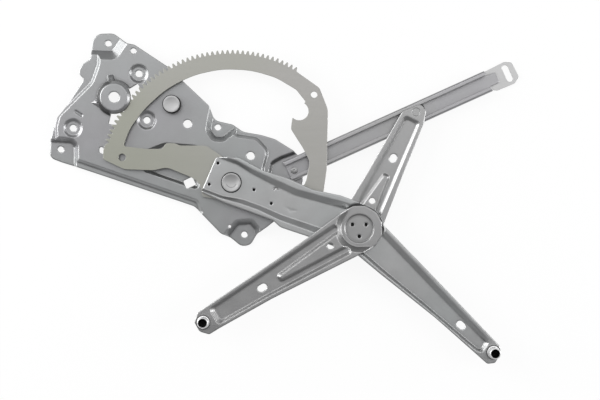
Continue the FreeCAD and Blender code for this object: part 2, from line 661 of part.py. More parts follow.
arm_sheet = size("arm_sheet")
arm_depth = size("arm_depth")
reach = size("arm_reach")
tip = size("tip_reach")
hub = size("hub_radius")
hub_side = polar(1.2 * hub, 41.0)
ARM_OUTLINE = near_leg([(-27, -20.5, 3), (-1, -23, 40), (34, -23, 30), (56, -23.3, 6), (66, -27.5, 10),
                        (99, -26.8, 60), (reach + 8, -27.6, 14)])
ARM_OUTLINE += far_leg([(49, -20.7, 120), (125, -15.2, 200), (tip + 3.5, -13.7, 4), (tip + 8.9, -7.4, 3),
                        (tip + 7.3, 2.8, 4), (tip + 1.8, 9.4, 5), (112, 14.9, 300), (17.2, 20.3, 1)])
ARM_OUTLINE += [(cross_from_main[0] + hub_side[0], cross_from_main[1] + hub_side[1], hub + 0.9)]
ARM_OUTLINE += near_leg([(reach - 19.3, 26.6, 12), (reach - 31, 26.6, 10), (85, 22.4, 20), (56, 24.8, 20),
                         (28, 23.6, 16), (-1.5, 28.0, 9), (-24.5, 20.0, 3)])
NEAR_FLOOR = near_leg([(-45, -16, 1), (-4, -17, 20), (18, -13, 20), (37, -13, 20), (63, -14.5, 20),
                       (107, -13.5, 30), (reach, -16, 3), (reach, 16, 3), (119, 14.2, 20), (69.4, 10.3, 30),
                       (41.6, 13.1, 30), (17.2, 16.5, 20), (-0.7, 20.5, 10), (-45, 20.5, 1)])
NEAR_OPENING = near_leg([(-45, -19, 1), (-4, -19.6, 20), (18, -18, 20), (37, -18, 20), (63, -20.5, 20),
                         (107, -20.5, 30), (reach, -22, 3), (reach, 22, 3), (119, 21, 20), (69.4, 16.8, 30),
                         (41.6, 18.8, 30), (17.2, 20.8, 20), (-0.7, 24, 10), (-45, 24, 1)])
FAR_FLOOR = far_leg([(0, -16, 3), (44, -15, 20), (108, -11.6, 60), (tip - 11, -9.0, 4), (tip - 14, 2.2, 4),
                     (113.7, 5.6, 60), (24, 11, 20), (0, 14, 3)])
FAR_OPENING = far_leg([(0, -19, 3), (44, -18, 20), (108, -14.0, 60), (tip - 8, -11.2, 5),
                       (tip - 10.5, 6.5, 5), (113.7, 10.8, 60), (24, 16.5, 20), (0, 18, 3)])
HUB_FLOOR = ring_corners(cross_from_main, hub + 0.6)
HUB_OPENING = ring_corners(cross_from_main, hub + 3.2)
arm_presses = [tray(NEAR_FLOOR, NEAR_OPENING, lip_top, arm_depth, arm_sheet),
               tray(HUB_FLOOR, HUB_OPENING, lip_top, arm_depth, arm_sheet),
               tray(FAR_FLOOR, FAR_OPENING, lip_top, arm_depth, arm_sheet)]
bush_radius = size("pivot_shank") + size("bush_wall")
WEDGE = near_leg([(53, -1.5, 1), (89, -1.0, 1), (70, -13.5, 3)])
arm_presses.append(press_up(WEDGE, web_top, 0.9, 3.2, arm_sheet))
far_hole = far_leg([(150.9, -2.2, 0)])[0][:2]
mark = near_leg([(48.0, 8.7, 0)])[0][:2]
crescent = cylinder(2.9, web_top - 0.7, web_top + 1, mark)
crescent = crescent.cut(cylinder(1.6, web_top - 0.7, web_top + 1, mark))
half_mark = [(mark[0] - 9, mark[1], 0), (mark[0] + 9, mark[1], 0), (mark[0], mark[1] - 9, 0)]
crescent = crescent.cut(prism(half_mark, 10, 30))
arm_cuts = [cylinder(bush_radius, web_bottom - 1, lip_top, (0, 0)), crescent,
            cylinder(size("cup_radius") + size("running_gap"), web_bottom - 1, lip_top, cross_from_main),
            cylinder(stud_neck, lip_top - 5, lip_top + 1, arm_stud_from_main),
            prism(slot_corners(far_hole, 10.6, 7.4, size("tip_angle")), 10, 30)]
arm_cuts += [cylinder(arm_rivet, web_bottom - 1, lip_top, spot) for spot in arm_rivets]
lift = pressed_sheet(ARM_OUTLINE, lip_top, arm_sheet, arm_presses, arm_cuts)
feature("lift_arm", lift, main_pivot)


# Equalizer arm: two pressings, one each side of the lift arm, riveted together through its hub.

def round_hub(before, after, radius, corner, count=6):
    """The corners that carry an outline round a hub at the origin, between two points outside it."""
    turns = []
    for point, side in ((before, 1), (after, -1)):
        lean = math.degrees(math.acos(radius / math.hypot(point[0], point[1])))
        turns.append(math.degrees(math.atan2(point[1], point[0])) + side * lean)
    start, end = turns
    if end < start:
        end += 360
    step = (end - start) / count
    outer = radius / math.cos(math.radians(step / 2))
    return [polar(outer, start + step * (i + 0.5)) + (corner,) for i in range(count)]


def with_tongue(pocket_press, foot, ridge, top, depth, sheet):
    """Leaves a tongue at the level of the lips between two loops, inside a pocket."""
    outer, inner = pocket_press
    floor = top - depth
    over = Part.makeLoft([loop_wire(grown(foot, 0), floor - 0.1),
                          loop_wire(grown(ridge, 0), top)], True, True)
    over = over.fuse(prism(grown(ridge, 0), top - 0.1, top + 1))
    inset = -0.42 * sheet
    under = Part.makeLoft([loop_wire(grown(foot, inset), floor - sheet - 0.1),
                           loop_wire(grown(ridge, inset), top - sheet)], True, True)
    return outer.cut(under), inner.cut(over)


equal_sheet = size("equal_sheet")
front_depth = size("front_depth")
front = size("front_reach")
front_leg = leg((0, 0), size("front_angle"))
FRONT_OUTLINE = front_leg([(8, -24.4, 20), (52, -20.2, 60), (95.7, -17.1, 120), (front, -12.0, 5),
                           (front + 8, -5, 4), (front + 8.5, 6.5, 7), (front + 1, 14.6, 4),
                           (front - 11, 14.4, 10), (119, 16.2, 120), (20, 23.6, 14)]
                          + round_hub((20, 23.6), (8, -24.4), hub, size("hub_corner")))
FRONT_FLOOR = front_leg([(20, -14.5, 3), (52, -13.3, 30), (120, -9.6, 60), (front - 17, -6.6, 4),
                         (front - 17, 8.2, 4), (120, 9.6, 60), (52, 13.3, 30), (20, 14.5, 3)])
FRONT_OPENING = front_leg([(20, -18.5, 3), (52, -16.6, 30), (120, -12.4, 60), (front - 12, -9.4, 4.5),
                           (front - 12, 11, 4.5), (120, 12.4, 60), (52, 16.6, 30), (20, 18.5, 3)])
FRONT_TONGUE = front_leg([(14, -11.0, 2), (102.5, -3.0, 3.4), (102.5, 6.2, 3.4), (14, 11.0, 2)])
FRONT_RIDGE = front_leg([(14, -8.0, 1), (99.5, 0.2, 1.4), (99.5, 3.4, 1.4), (14, 8.0, 1)])


def dish_corners(radius, half_width):
    """A round front towards the leg, whose sides run back past the hub."""
    back = radius * 0.5 - (half_width - radius * 0.866) * 1.732
    corners = [(2 * radius, 0, radius * 0.998), (back, half_width, 2), (-60, half_width, 2)]
    return front_leg(corners + [(-60, -half_width, 2), (back, -half_width, 2)])


DISH_FLOOR = dish_corners(0.8 * hub, 40)
DISH_OPENING = dish_corners(1.04 * hub, 46)
front_pocket = tray(FRONT_FLOOR, FRONT_OPENING, front_top, front_depth, equal_sheet)
front_pocket = with_tongue(front_pocket, FRONT_TONGUE, FRONT_RIDGE, front_top, front_depth, equal_sheet)
dish = tray(DISH_FLOOR, DISH_OPENING, front_top, front_top - hub_top, equal_sheet)
cup_floor = rear_top + equal_sheet
cup_radius = size("cup_radius")
cup = (cylinder(cup_radius, rear_top, hub_top - 0.4),
       cylinder(cup_radius - equal_sheet, cup_floor, hub_top + 1))
rivet_spots = [polar(size("rivet_circle"), 30 + 120 * i) for i in range(3)]
front_cuts = [cylinder(size("cross_rivet"), rear_top - 3, hub_top, spot) for spot in rivet_spots]
front_cuts.append(cylinder(3.2, 10, 40, front_leg([(36.5, 0, 0)])[0][:2]))
front_hole = front_leg([(122, 0.9, 0)])[0][:2]
front_cuts.append(prism(slot_corners(front_hole, 10.6, 7.4, size("front_angle")), 10, 40))
front_cuts.append(cylinder(stud_neck, front_top - 5, front_top + 1, equal_stud_from_cross))
front_arm = pressed_sheet(FRONT_OUTLINE, front_top, equal_sheet, [front_pocket, dish, cup], front_cuts)
feature("equalizer_front", front_arm, cross_pivot)

rear_depth = size("rear_depth")
rear = size("rear_reach")
rear_leg = leg((0, 0), size("rear_angle"))
REAR_OUTLINE = rear_leg([(16, -21.6, 12), (78, -16.5, 120), (rear - 7, -13.0, 4), (rear + 6, -9.5, 5),
                         (rear + 10.5, -1, 5), (rear - 5.5, 13.4, 4), (61, 18.2, 120), (20, 22.0, 12)]
                        + round_hub((20, 22.0), (16, -21.6), hub, 0.99 * hub, 4))
REAR_FLOOR = rear_leg([(21, -11.5, 3), (80, -8.8, 60), (rear - 11, -6.6, 4), (rear - 11, 6.4, 4),
                       (80, 9.0, 60), (21, 11.5, 3)])
REAR_OPENING = rear_leg([(19, -15.0, 4), (80, -12.0, 60), (rear - 8, -9.2, 4), (rear - 8, 9.2, 4),
                         (80, 12.3, 60), (19, 15.0, 4)])
REAR_TONGUE = rear_leg([(10, -10.5, 1), (66, -5.6, 3.2), (66, 2.8, 3.2), (10, 12.5, 1)])
REAR_RIDGE = rear_leg([(10, -7.9, 1), (63.2, -3.0, 1.3), (63.2, 0.3, 1.3), (10, 9.7, 1)])
rear_pocket = tray(REAR_FLOOR, REAR_OPENING, rear_top, rear_depth, equal_sheet)
rear_pocket = with_tongue(rear_pocket, REAR_TONGUE, REAR_RIDGE, rear_top, rear_depth, equal_sheet)
rear_cuts = [cylinder(size("cross_rivet"), rear_top - 5, rear_top + 1, spot) for spot in rivet_spots]
rear_cuts.append(cylinder(3.2, 5, 20, rear_leg([(32.8, 0.5, 0)])[0][:2]))
rear_hole = rear_leg([(83.9, 0.2, 0)])[0][:2]
rear_cuts.append(prism(slot_corners(rear_hole, 9.8, 7.4, size("rear_angle")), 5, 20))
rear_cuts.append(cylinder(pin_neck + FIT, 5, 20, slider_from_cross))
rear_cuts.append(cone(pin_neck + FIT, pin_head + FIT, rear_top - 1.0, rear_top - 0.05, slider_from_cross))
rear_cuts.append(cylinder(pin_head + FIT, rear_top - 0.06, rear_top + 1, slider_from_cross))
rear_arm = pressed_sheet(REAR_OUTLINE, rear_top, equal_sheet, [rear_pocket], rear_cuts)
feature("equalizer_rear", rear_arm, cross_pivot)


# Turned pieces: each profile is read from the axis outwards.

head_top = web_top + size("head_height")
shank = size("pivot_shank")
boss_under = boss_top - plate_sheet
pivot_rivet = new_body("main_pivot_rivet", main_pivot, "0")
head = size("pivot_head")
revolve(pivot_rivet, [(0, boss_under - 2), (9, boss_under - 2), (10, boss_under - 1), (10, boss_under),
                      (shank, boss_under), (shank, web_top), (head, web_top), (head, head_top - 0.8),
                      (head - 1.2, head_top), (5.2, head_top), (4.2, head_top - 0.7), (0, head_top - 0.7)])

washer = new_body("main_pivot_washer", main_pivot, BOSS_TOP)
ring(washer, 14.5, shank + 0.1, "Sizes.pivot_washer")

bush = new_body("main_pivot_bush", main_pivot, SECTOR_BOTTOM)
ring(bush, bush_radius - 0.01, shank + size("running_gap"), "Sizes.sector_sheet + Sizes.arm_sheet")

STOP_HEAD = size("buffer_radius") + 0.4
stop_stud = new_body("stop_stud", stop_centre, "0")
panel_back = size("panel_rise")
revolve(stop_stud, [(0, panel_back - 1.6), (7.2, panel_back - 1.6), (7.2, panel_back),
                    (stop_shank, panel_back), (stop_shank, stop_top - 1.8), (STOP_HEAD, stop_top - 1.8),
                    (STOP_HEAD, stop_top - 0.5), (STOP_HEAD - 0.6, stop_top), (0, stop_top)])
buffer = new_body("stop_buffer", stop_centre, PANEL_TOP)
ring(buffer, size("buffer_radius"), stop_shank + FIT, f"{STOP_TOP} - 1.8 - ({PANEL_TOP})")

cross_washer = new_body("cross_pivot_washer", cross_pivot, WEB_TOP)
ring(cross_washer, hub - 0.8, cup_radius + 0.2, "Sizes.cross_washer")


def guide_stud(label, at, pad_top):
    """A tubular stud: flanged on the arm's pad and peened under it."""
    radius, bore, flange = size("stud_radius"), size("stud_bore"), size("stud_flange")
    sheet = arm_sheet if label.startswith("lift") else equal_sheet
    top = size("stud_top")
    body = new_body(label, at, "0")
    back = pad_top - sheet
    seat = pad_top + size("flange_height")
    revolve(body, [(0, back - 1.2), (flange - 0.6, back - 1.2), (flange - 0.6, back),
                   (stud_neck - 0.01, back), (stud_neck - 0.01, pad_top), (flange, pad_top), (flange, seat),
                   (radius, seat), (radius, top - 0.6), (radius - 0.6, top), (bore, top),
                   (bore, pad_top + 1.5), (0, pad_top + 1.5)])


guide_stud("lift_arm_stud", add(main_pivot, arm_stud_from_main), lip_top)
guide_stud("equalizer_stud", add(cross_pivot, equal_stud_from_cross), front_top)

rivet_low = rear_top - equal_sheet
rivet_shank = size("cross_rivet") - 0.01
cross_rivets = rivet_group(rivet_spots, [(0, rivet_low - 0.7), (2.9, rivet_low - 0.7), (2.9, rivet_low),
                                         (rivet_shank, rivet_low), (rivet_shank, cup_floor), (0, cup_floor)])
feature("cross_pivot_rivets", cross_rivets, cross_pivot)
pin = arm_rivet - 0.01
pin_top = web_top - 0.6
sector_pins = rivet_group(arm_rivets, [(0, sector_bottom), (pin, sector_bottom), (pin, pin_top),
                                       (0, pin_top)])
feature("sector_rivets", sector_pins, main_pivot)


# Guide rail: a lipped channel on the base plate's seat, with a slotted bracket under its far end.

rail_sheet = size("rail_sheet")
half = size("rail_width") / 2
lip = size("rail_lip")
rail_height = rail_top - plate_sheet
rail = new_body("guide_rail", rail_origin, "Sizes.plate_sheet", rail_angle)
section = new_sketch(rail, "rail_section", "YZ_Plane")
C_SECTION = [(-half, 0, 2.2), (half, 0, 2.2), (half, rail_height, 2.2), (half - lip, rail_height, 0),
             (half - lip, rail_height - rail_sheet, 0), (half - rail_sheet, rail_height - rail_sheet, 0.6),
             (half - rail_sheet, rail_sheet, 0.6), (rail_sheet - half, rail_sheet, 0.6),
             (rail_sheet - half, rail_height - rail_sheet, 0.6), (lip - half, rail_height - rail_sheet, 0),
             (lip - half, rail_height, 0), (-half, rail_height, 2.2)]
for edge in loop_edges(C_SECTION):
    section.addGeometry(edge, False)
pad(rail, section, "Sizes.rail_length")
rail_end = size("rail_length")
tongue = new_sketch(rail, "rail_tongue")
tongue_half = size("tongue_width") / 2
tongue_end = rail_end + size("tongue_length")
TONGUE = [(rail_end - 4, -tongue_half, 0), (tongue_end, -tongue_half, 1.5), (tongue_end, tongue_half, 1.5),
          (rail_end - 4, tongue_half, 0)]
for edge in loop_edges(TONGUE):
    tongue.addGeometry(edge, False)
pad(rail, tongue, "Sizes.rail_sheet")
rail_holes = new_sketch(rail, "rail_holes")
circle(rail_holes, RAIL_RIVET, rail_rivet_shank + FIT)
pocket(rail, rail_holes, "rail_rivet_hole")

rail_rivet = new_body("rail_rivet", rail_rivet_centre, "0")
rail_floor = plate_sheet + rail_sheet
revolve(rail_rivet, [(0, 0.02), (rail_rivet_shank + 1.2, 0.02), (rail_rivet_shank, 1.21),
                     (rail_rivet_shank, rail_floor), (rail_rivet_shank + 1.6, rail_floor),
                     (rail_rivet_shank + 1.2, rail_floor + 1.0), (1.2, rail_floor + 1.3),
                     (0, rail_floor + 0.8)])

bracket = new_body("rail_bracket", rail_origin, "0", rail_angle)
bracket_half = half - 1.5
bracket_start = rail_end - size("bracket_overlap")
BRACKET = [(bracket_start, -bracket_half, 3), (rail_end + 1, -bracket_half, 4),
           (rail_end + 6, -bracket_half - 3, 5), (rail_end + 26, -bracket_half - 3.6, 3),
           (rail_end + 33.5, -9.7, 3), (rail_end + 32.5, 8.3, 4), (rail_end + 25, bracket_half + 1.8, 4),
           (rail_end + 1, bracket_half + 0.6, 10), (bracket_start, bracket_half, 3)]
plate = new_sketch(bracket, "bracket_outline")
for edge in loop_edges(BRACKET):
    plate.addGeometry(edge, False)
pad(bracket, plate, "Sizes.bracket_sheet")
slot = new_sketch(bracket, "bracket_slot")
for edge in loop_edges(slot_corners((rail_end + 23.4, -0.8), size("slot_length"), size("slot_width"), 90)):
    slot.addGeometry(edge, False)
pocket(bracket, slot, "bracket_slot_cut")


# Slider: a plastic shoe in the rail, on the pin that is riveted flush into the rear pressing.

shoe_bottom = plate_sheet + rail_sheet + size("seat_gap")
SHOE_BOTTOM = "Sizes.plate_sheet + Sizes.rail_sheet + Sizes.seat_gap"
shoe = new_body("rail_slider", slider_pivot, SHOE_BOTTOM, rail_angle)
shoe_plan = new_sketch(shoe, "shoe_plan")
half_long, half_wide = size("shoe_length") / 2, size("shoe_width") / 2
SHOE = [(-half_long, -half_wide, 5), (half_long, -half_wide, 5), (half_long, half_wide, 5),
        (-half_long, half_wide, 5)]
for edge in loop_edges(SHOE):
    shoe_plan.addGeometry(edge, False)
circle(shoe_plan, (0, 0), size("pin_radius") + size("running_gap"), "Sizes.pin_radius + Sizes.running_gap")
pad(shoe, shoe_plan, f"{RAIL_TOP} - Sizes.plate_sheet - 2 * Sizes.rail_sheet - 2 * Sizes.seat_gap")

shoulder_low = rail_top + 0.3
slider_pin = new_body("slider_pin", slider_pivot, "0")
revolve(slider_pin, [(0, shoe_bottom + 0.4), (size("pin_radius") - 0.5, shoe_bottom + 0.4),
                     (size("pin_radius"), shoe_bottom + 0.9), (size("pin_radius"), shoulder_low),
                     (size("pin_shoulder"), shoulder_low), (size("pin_shoulder"), rear_top - equal_sheet),
                     (pin_neck, rear_top - equal_sheet), (pin_neck, rear_top - 1.0),
                     (pin_head, rear_top - 0.05), (0, rear_top - 0.05)])

doc.recompute()
failed = [item.Name for item in doc.Objects if "Invalid" in item.State or "Error" in item.State]
if failed:
    raise RuntimeError(f"these objects failed: {failed}")
os.makedirs("parts", exist_ok=True)
for piece in parts:
    shape = piece.Shape
    if shape.isNull() or not shape.isValid() or not shape.Solids:
        raise RuntimeError(f"{piece.Label} has no valid solid")
for piece in parts:
    piece.Shape.exportStep(f"parts/{piece.Label}.step")
    print(piece.Label, len(piece.Shape.Solids), round(piece.Shape.Volume, 1), len(piece.Shape.Faces))
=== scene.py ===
import math
import bpy
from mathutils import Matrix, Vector


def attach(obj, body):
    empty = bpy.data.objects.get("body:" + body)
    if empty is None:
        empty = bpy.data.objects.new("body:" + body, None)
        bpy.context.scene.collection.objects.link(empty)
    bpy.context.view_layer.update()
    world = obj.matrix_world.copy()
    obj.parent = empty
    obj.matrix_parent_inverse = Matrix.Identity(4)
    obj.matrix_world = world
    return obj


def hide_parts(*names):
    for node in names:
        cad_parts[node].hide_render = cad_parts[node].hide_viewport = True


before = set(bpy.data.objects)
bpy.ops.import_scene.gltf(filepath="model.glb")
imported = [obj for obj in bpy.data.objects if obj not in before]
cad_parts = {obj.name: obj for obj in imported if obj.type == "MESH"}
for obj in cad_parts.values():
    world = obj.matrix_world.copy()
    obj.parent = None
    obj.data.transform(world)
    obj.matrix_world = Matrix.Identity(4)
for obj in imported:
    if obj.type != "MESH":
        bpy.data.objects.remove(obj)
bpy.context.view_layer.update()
scene = bpy.context.scene
scene.view_settings.view_transform = "Standard"

# Studio: the part lies face up on a pale table and is seen straight from above. A large soft box
# stands on its left and a narrow one on its right, a wide dim one hangs over it, and the room is
# a plain grey.
CAMERA_SPOT = (0.2599, -0.0549, 1.765)
PART_MIDDLE = Vector((0.22, -0.04, 0.01))

camera_data = bpy.data.cameras.new("camera")
camera_data.sensor_width = 36.0
camera_data.lens = 97.4
camera_data.clip_start = 0.05
camera_data.clip_end = 50.0
camera = bpy.data.objects.new("camera", camera_data)
camera.location = CAMERA_SPOT
scene.collection.objects.link(camera)
scene.camera = camera


def softbox(name, spot, width, height, watts):
    """A soft box that points at the middle of the part."""
    light = bpy.data.lights.new(name, "AREA")
    light.shape = "RECTANGLE"
    light.size = width
    light.size_y = height
    light.energy = watts
    lamp = bpy.data.objects.new(name, light)
    lamp.location = spot
    lamp.rotation_euler = (PART_MIDDLE - Vector(spot)).to_track_quat("-Z", "Y").to_euler()
    scene.collection.objects.link(lamp)


softbox("left_box", (-1.3, 0.5, 0.75), 1.5, 1.3, 31.0)
softbox("right_box", (1.8, 0.0, 0.7), 0.7, 1.3, 16.0)
softbox("top_box", (0.35, 0.95, 2.6), 3.2, 2.0, 24.0)

world = bpy.data.worlds.new("room")
scene.world = world
world.use_nodes = True
room = world.node_tree.nodes["Background"]
room.inputs["Color"].default_value = (0.72, 0.72, 0.73, 1.0)
room.inputs["Strength"].default_value = 0.42


# Table: a plain white board. To the camera, and in what the metal mirrors, it shows as a bright
# page, and it still takes the part's shadow.
BOARD_SIZE = 12.0
BOARD_SPOT = (0.2, 0.0, -0.0006)
PAGE_SHARE = 0.9  # how much of the board is a bright page to the camera


class Value:
    """A shader socket that takes part in Python expressions."""

    def __init__(self, tree, socket):
        self.tree = tree
        self.socket = socket

    def maths(self, operation, first, second=0.0, clamp=False):
        node = self.tree.nodes.new("ShaderNodeMath")
        node.operation = operation
        node.use_clamp = clamp
        for slot, item in zip(node.inputs, (first, second)):
            if isinstance(item, Value):
                self.tree.links.new(item.socket, slot)
            else:
                slot.default_value = item
        return Value(self.tree, node.outputs[0])

    def __add__(self, other):
        return self.maths("ADD", self, other)

    def __radd__(self, other):
        return self.maths("ADD", other, self)

    def __sub__(self, other):
        return self.maths("SUBTRACT", self, other)

    def __rsub__(self, other):
        return self.maths("SUBTRACT", other, self)

    def __mul__(self, other):
        return self.maths("MULTIPLY", self, other)

    def __rmul__(self, other):
        return self.maths("MULTIPLY", other, self)

    def __truediv__(self, other):
        return self.maths("DIVIDE", self, other)

    def __abs__(self):
        return self.maths("ABSOLUTE", self)

    def clipped(self):
        """The value kept between 0 and 1."""
        return self.maths("ADD", self, 0.0, clamp=True)

    def larger(self, other):
        return self.maths("MAXIMUM", self, other)


class Finish:
    """A material with a Principled shader, built by expressions on Object coordinates."""

    def __init__(self, name, metallic=0.0, roughness=0.5):
        self.material = bpy.data.materials.new(name)
        self.material.use_nodes = True
        self.tree = self.material.node_tree
        self.shader = self.tree.nodes["Principled BSDF"]
        self.shader.inputs["Metallic"].default_value = metallic
        self.shader.inputs["Roughness"].default_value = roughness
        self.place = self.node("ShaderNodeTexCoord", {}, {}, "Object")

    def node(self, kind, settings, inputs, output=0):
        """Any node: its settings are set first, then the values or links of its sockets."""
        made = self.tree.nodes.new(kind)
        for name, setting in settings.items():
            if name == "ramp":
                while len(made.color_ramp.elements) < len(setting):
                    made.color_ramp.elements.new(1.0)
                for stop, (position, level) in zip(made.color_ramp.elements, setting):
                    stop.position = position
                    stop.color = (level, level, level, 1.0)
            else:
                setattr(made, name, setting)
        for name, item in inputs.items():
            if isinstance(item, Value):
                self.tree.links.new(item.socket, made.inputs[name])
            else:
                made.inputs[name].default_value = item
        return Value(self.tree, made.outputs[output])

    def noise(self, scale, detail=2.0, stretch=(1.0, 1.0, 1.0), turn=0.0, shift=0.0):
        place = self.node("ShaderNodeMapping", {},
                          {"Vector": self.place, "Scale": stretch, "Rotation": (0.0, 0.0, turn),
                           "Location": (shift, shift, 0.0)})
        return self.node("ShaderNodeTexNoise", {}, {"Vector": place, "Scale": scale, "Detail": detail})

    def ramp(self, value, *stops):
        return self.node("ShaderNodeValToRGB", {"ramp": stops}, {"Fac": value})

    def blend(self, factor, first, second):
        """One colour turning into another."""
        return self.node("ShaderNodeMix", {"data_type": "RGBA"}, {0: factor, 6: first, 7: second}, 2)

    def along(self, axis):
        """The place along X, Y or Z."""
        return self.node("ShaderNodeSeparateXYZ", {}, {"Vector": self.place}, axis)

    def vector(self, operation, first, second, output="Vector"):
        return self.node("ShaderNodeVectorMath", {"operation": operation}, {0: first, 1: second}, output)

    def reach(self, spot):
        """Distance from an upright axis."""
        offset = self.vector("SUBTRACT", self.place, spot + (0.0,))
        level = self.vector("MULTIPLY", offset, (1.0, 1.0, 0.0))
        return self.node("ShaderNodeVectorMath", {"operation": "LENGTH"}, {0: level}, "Value")

    def feed(self, socket, value):
        self.tree.links.new(value.socket, self.shader.inputs[socket])

    def relief(self, height, distance, strength=1.0, bends=None):
        """Fine unevenness, on top of the rounded bends where the piece has them."""
        inputs = {"Height": height, "Distance": distance, "Strength": strength}
        if bends:
            inputs["Normal"] = bends
        self.feed("Normal", self.node("ShaderNodeBump", {}, inputs))


table_finish = Finish("white_board", roughness=0.9)
table_finish.shader.inputs["Base Color"].default_value = (0.92, 0.92, 0.92, 1.0)
glow = table_finish.node("ShaderNodeEmission", {}, {})
seen = table_finish.node("ShaderNodeLightPath", {}, {}, "Is Camera Ray")
for ray in ("Is Glossy Ray", "Is Transmission Ray"):
    seen = seen.larger(table_finish.node("ShaderNodeLightPath", {}, {}, ray))
board = Value(table_finish.tree, table_finish.shader.outputs[0])
page = table_finish.node("ShaderNodeMixShader", {}, {0: PAGE_SHARE * seen, 1: board, 2: glow})
surface = table_finish.tree.nodes["Material Output"].inputs["Surface"]
table_finish.tree.links.new(page.socket, surface)

bpy.ops.object.select_all(action="DESELECT")
bpy.ops.mesh.primitive_plane_add(size=BOARD_SIZE, location=BOARD_SPOT)
table = bpy.context.object
table.name = "table"
bpy.ops.object.transform_apply(location=True, rotation=True, scale=True)
table.data.materials.append(table_finish.material)


# Base plate: pressed from 1.8 mm sheet steel, pierced, and zinc plated after pressing. The press
# leaves every bend round and the plating is satin. Its bends are painted lighter, partly as wear
# from handling and partly as painted highlight, and the dome's left wall carries painted shade.
DOME_SHADE_SPOT = (0.0600, 0.05555)
# Painted shade: between these radii the dome's left wall is darkened.
DOME_CROWN, DOME_FOOT = 0.0148, 0.0208  # radii at which the dome's wall starts and ends
# Painted shade: a near black disc of this radius stands for the shade in the hollow at a rivet end.
PIT_SHADE_RADIUS = 0.0018  # radius of the dark hollow at a rivet's end
VIOLET, GREEN, PLAIN = (0.98, 0.97, 1.03), (0.95, 1.0, 1.0), (1.0, 1.0, 1.0)


def grey(level, tint=PLAIN):
    return tuple(level * part for part in tint) + (1.0,)


def soft_edges(finish, radius):
    """The normal of rounded bends and edges, and a mask that is 1 where the surface bends most."""
    soft = finish.node("ShaderNodeBevel", {"samples": 8}, {"Radius": radius})
    flat = finish.node("ShaderNodeNewGeometry", {}, {}, "Normal")
    facing = finish.vector("DOT_PRODUCT", soft, flat, "Value")
    return soft, (5.0 * (1.0 - facing)).clipped()


def painted_dome_shade(finish, dome):
    """A mask of painted shade: 1 on the left side of a dome's wall."""
    reach = finish.reach(dome)
    left = (dome[0] - 0.002 - finish.along("X")) / 0.004
    past_crown = ((reach - DOME_CROWN) / 0.0006).clipped()
    before_foot = ((DOME_FOOT - reach) / 0.0012).clipped()
    return past_crown * before_foot * left.clipped()


def plated_steel(name, level, tints, seed, bend, roughness=0.36, dome=None, shaded_pits=()):
    """Zinc plate: tinted clouds, fine grain, bends lighter (wear and painted highlight), painted shade
    in corners.
    """
    finish = Finish(name, metallic=0.92)
    cloud = finish.ramp(finish.noise(9.0, 3.0, shift=seed), (0.38, 0.0), (0.62, 1.0))
    mottle = finish.noise(60.0, 4.0, shift=seed)
    grain = finish.noise(1300.0, 2.0)
    soft, bent = soft_edges(finish, bend)
    # Painted shade: an occlusion mask that darkens the colour in inner corners.
    corner = finish.node("ShaderNodeAmbientOcclusion", {"samples": 6, "only_local": True},
                         {"Distance": 0.004}, "AO")
    tinted = finish.blend(cloud, grey(level, tints[0]), grey(level, tints[1]))
    mottled = finish.blend(0.5 * mottle + 0.25 * grain, grey(0.72 * level), tinted)
    # Bends painted lighter: partly rubbed wear, partly painted highlight.
    wear_highlight_and_shade = finish.blend(0.5 * bent * mottle, mottled, grey(min(1.0, 1.7 * level)))
    # Painted shade: the left side of the dome's wall is darkened almost to black.
    if dome:
        wear_highlight_and_shade = finish.blend(0.85 * painted_dome_shade(finish, dome), wear_highlight_and_shade, grey(0.16 * level))
    # Painted shade: a near black disc at each rivet end.
    for spot in shaded_pits:
        pit_shade = ((PIT_SHADE_RADIUS - finish.reach(spot)) / 0.0003).clipped()
        wear_highlight_and_shade = finish.blend(pit_shade, wear_highlight_and_shade, grey(0.02))
    # The painted shade in inner corners goes into the colour here.
    finish.feed("Base Color", finish.blend((1.4 * corner - 0.4).clipped(), grey(0.35 * level), wear_highlight_and_shade))
    finish.feed("Roughness", (roughness - 0.06) + 0.12 * mottle)
    finish.relief(0.5 * grain + 0.5 * mottle, 0.00003, strength=0.5, bends=soft)
    return finish


def dress(node, finish):
    """A solid that is kept as it is gets its finish."""
    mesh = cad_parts[node].data
    mesh.materials.clear()
    mesh.materials.append(finish.material)


plate_zinc = plated_steel("plate_zinc", 0.43, (VIOLET, GREEN), 0.0, bend=0.0020, dome=DOME_SHADE_SPOT)
dress("base_plate", plate_zinc)


# Dome gusset: a folded rib, pressed with the plate in the corner between the dome's wall and the
# panel. It is the same zinc-plated sheet, but its faces lean enough to catch other light.
GUSSET = [(0.0335, 0.0508, 0.0088), (0.0335, 0.0508, 0.0099), (0.0475, 0.0546, 0.0088),
          (0.0475, 0.0544, 0.0138), (0.0536, 0.0372, 0.0088), (0.0536, 0.0375, 0.0101),
          (0.0570, 0.0460, 0.0159), (0.0480, 0.0481, 0.0159)]
GUSSET_CREASE = 0.0004

bpy.ops.object.select_all(action="DESELECT")
bpy.ops.mesh.primitive_plane_add(size=0.001, location=GUSSET[0])
gusset = bpy.context.object
gusset.name = "dome_gusset"
gusset.data.name = "dome_gusset"
bpy.ops.object.transform_apply(location=True, rotation=True, scale=True)
bpy.ops.object.mode_set(mode="EDIT")
bpy.ops.mesh.select_all(action="SELECT")
bpy.ops.mesh.merge(type="CENTER")
for corner, following in zip(GUSSET, GUSSET[1:]):
    step = Vector(following) - Vector(corner)
    bpy.ops.mesh.extrude_vertices_move(TRANSFORM_OT_translate={"value": step})
bpy.ops.mesh.select_all(action="SELECT")
bpy.ops.mesh.convex_hull()
bpy.ops.mesh.normals_make_consistent(inside=False)
bpy.ops.object.mode_set(mode="OBJECT")
crease = gusset.modifiers.new("crease", "BEVEL")
crease.width = GUSSET_CREASE
crease.segments = 3
bpy.ops.object.modifier_apply(modifier="crease")
bpy.ops.object.shade_smooth_by_angle(angle=math.radians(30.0))


